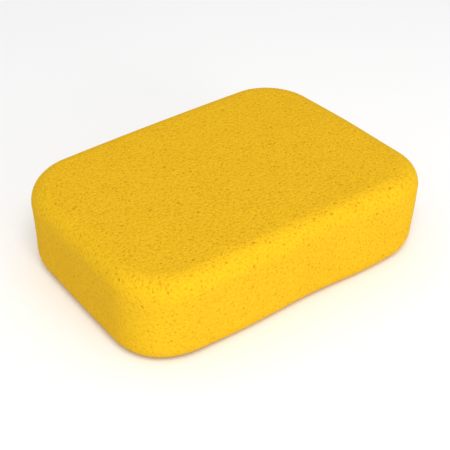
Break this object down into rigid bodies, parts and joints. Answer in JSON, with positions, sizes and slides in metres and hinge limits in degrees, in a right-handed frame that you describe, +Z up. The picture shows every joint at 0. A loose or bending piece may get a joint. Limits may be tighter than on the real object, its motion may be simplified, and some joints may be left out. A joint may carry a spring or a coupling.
{
  "type": "grout sponge",
  "caption": "Rectangular block of soft open-cell foam with round corners and edges, held in the hand to wipe wet grout off tiles.",
  "frame": {"origin": "middle of the flat underside that the sponge rests on", "axes": "+X along the length, +Y across the width, +Z up through the thickness"},
  "size_m": [0.1906, 0.1396, 0.0508],
  "materials": {
    "foam": "matt open-cell foam, dyed yellow"
  },
  "bodies": {
    "root": {"sponge": "foam"}
  },
  "joints": []
}
